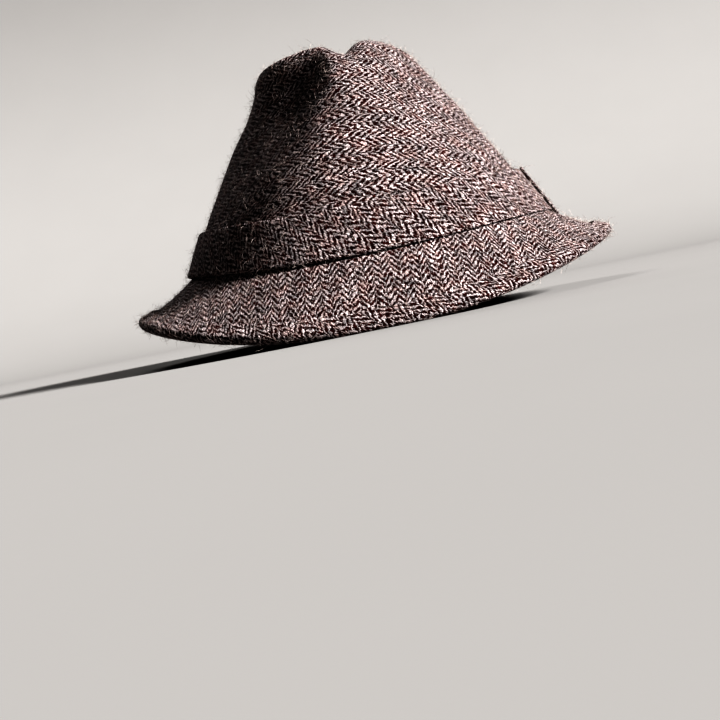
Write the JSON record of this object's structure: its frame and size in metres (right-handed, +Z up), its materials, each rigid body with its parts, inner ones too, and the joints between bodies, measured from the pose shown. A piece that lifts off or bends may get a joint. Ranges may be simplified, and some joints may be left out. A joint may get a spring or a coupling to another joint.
{
  "type": "fedora",
  "caption": "Herringbone tweed fedora with a creased, front-pinched crown, a self-fabric hatband with a folded tab and a short snapped brim with a bound edge.",
  "frame": {"origin": "middle of the brim's outline, on the surface that the hat rests on", "axes": "+Z up, -Y towards the front of the hat, +X towards the wearer's left"},
  "size_m": [0.2238, 0.2604, 0.1239],
  "materials": {
    "herringbone_tweed": "woven wool, matt, with raised fibres",
    "bias_cut_tweed": "the same woven wool, cut on the bias"
  },
  "bodies": {
    "root": {"crown": "herringbone_tweed", "brim": "herringbone_tweed", "brim_binding": "bias_cut_tweed", "hatband": "bias_cut_tweed", "hatband_tab": "bias_cut_tweed"}
  },
  "joints": []
}
